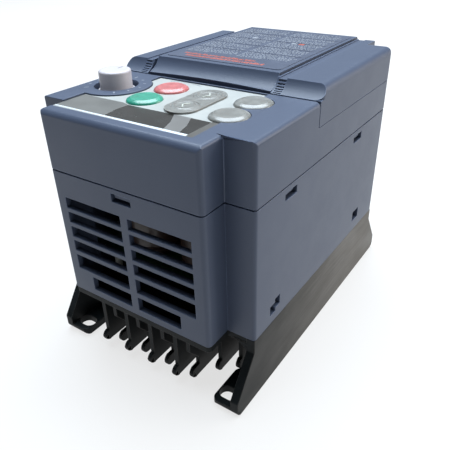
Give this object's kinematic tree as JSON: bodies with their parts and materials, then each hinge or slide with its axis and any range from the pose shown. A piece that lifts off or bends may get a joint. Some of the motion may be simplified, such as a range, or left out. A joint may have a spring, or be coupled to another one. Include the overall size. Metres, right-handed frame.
{
  "type": "variable frequency drive",
  "caption": "Compact open-type motor drive: finned heatsink with slotted feet, two-part case with end grille, keypad with speed knob, lift-off terminal covers.",
  "frame": {"origin": "centre of the mounting plane under the four feet", "axes": "+Z out of the keypad, -Y towards the grille end (the top when it hangs on a wall), +X to the right seen from the grille end"},
  "size_m": [0.08, 0.12, 0.096],
  "materials": {
    "case_blue": "moulded blue-grey plastic, fine texture",
    "heatsink_black": "satin black cast aluminium",
    "guard_grey": "moulded",
    "label": "printed film",
    "overlay": "printed film",
    "window": "dark filter, gloss",
    "key_grey": "silicone rubber",
    "key_green": "silicone rubber",
    "key_red": "silicone rubber",
    "knob_white": "moulded",
    "steel": "zinc plated",
    "brass": "turned",
    "board": "glass-fibre board",
    "black_plastic": "moulded",
    "blue_plastic": "moulded",
    "white_plastic": "moulded",
    "terminal_green": "moulded",
    "pad_grey": "silicone sheet",
    "sleeve_brown": "shrink sleeve",
    "copper_winding": "enamelled copper",
    "yellow_plastic": "moulded",
    "tape_yellow": "tape over a ferrite core",
    "carbon": "carbon print",
    "terminal_metal": "tin plated"
  },
  "bodies": {
    "drive_body": {"heatsink": "heatsink_black", "lower_case": "case_blue", "case_screws": "steel", "upper_case": "case_blue", "wire_guard": "guard_grey", "keypad_overlay": "overlay", "display_window": "window", "unit_window": "window", "arrow_key_frame": "key_grey", "potentiometer": "blue_plastic", "keypad_board": "board", "led_display": "black_plastic", "key_contacts": "carbon", "keypad_posts": "case_blue", "thermal_pad": "pad_grey", "power_module": "black_plastic", "module_screws": "steel", "board_standoffs": "brass", "power_board": "board", "power_board_screws": "steel", "capacitor_left": "sleeve_brown", "capacitor_right": "sleeve_brown", "filter_choke": "copper_winding", "film_capacitor": "yellow_plastic", "transformer": "tape_yellow", "inrush_relay": "black_plastic", "main_terminal_block": "black_plastic", "main_terminal_screws": "terminal_metal", "ground_screws": "terminal_metal", "board_link": "black_plastic", "control_posts": "white_plastic", "control_board": "board", "control_screws": "steel", "control_terminal_block": "terminal_green", "control_terminal_screws": "steel", "processor": "black_plastic", "support_post": "white_plastic"},
    "knob_set": {"speed_knob": "knob_white", "potentiometer_shaft": "steel"},
    "main_cover": {"terminal_cover": "case_blue"},
    "centre_cover": {"control_cover": "case_blue", "cover_label": "label"},
    "run_key": {"run_key": "key_green"},
    "stop_key": {"stop_key": "key_red"},
    "up_key": {"up_key": "key_grey"},
    "down_key": {"down_key": "key_grey"},
    "program_key": {"program_key": "key_grey"},
    "function_key": {"function_key": "key_grey"}
  },
  "joints": [
    {"name": "speed_knob_turn", "type": "hinge", "parent": "drive_body", "child": "knob_set", "pos_m": [-0.0279, -0.0289, 0.09], "axis": [0, 0, 1], "range_deg": [-140, 140]},
    {"name": "main_cover_lift", "type": "slide", "parent": "drive_body", "child": "main_cover", "axis": [0, 0, 1], "range_m": [0, 0.04]},
    {"name": "centre_cover_lift", "type": "slide", "parent": "main_cover", "child": "centre_cover", "axis": [0, 0, 1], "range_m": [0, 0.03]},
    {"name": "run_key_press", "type": "slide", "parent": "drive_body", "child": "run_key", "axis": [0, 0, -1], "range_m": [0, 0.0008], "stiffness_N_per_m": 2500, "springref_m": -0.0004},
    {"name": "stop_key_press", "type": "slide", "parent": "drive_body", "child": "stop_key", "axis": [0, 0, -1], "range_m": [0, 0.0008], "stiffness_N_per_m": 2500, "springref_m": -0.0004},
    {"name": "up_key_press", "type": "slide", "parent": "drive_body", "child": "up_key", "axis": [0, 0, -1], "range_m": [0, 0.0008], "stiffness_N_per_m": 2500, "springref_m": -0.0004},
    {"name": "down_key_press", "type": "slide", "parent": "drive_body", "child": "down_key", "axis": [0, 0, -1], "range_m": [0, 0.0008], "stiffness_N_per_m": 2500, "springref_m": -0.0004},
    {"name": "program_key_press", "type": "slide", "parent": "drive_body", "child": "program_key", "axis": [0, 0, -1], "range_m": [0, 0.0008], "stiffness_N_per_m": 2500, "springref_m": -0.0004},
    {"name": "function_key_press", "type": "slide", "parent": "drive_body", "child": "function_key", "axis": [0, 0, -1], "range_m": [0, 0.0008], "stiffness_N_per_m": 2500, "springref_m": -0.0004}
  ]
}
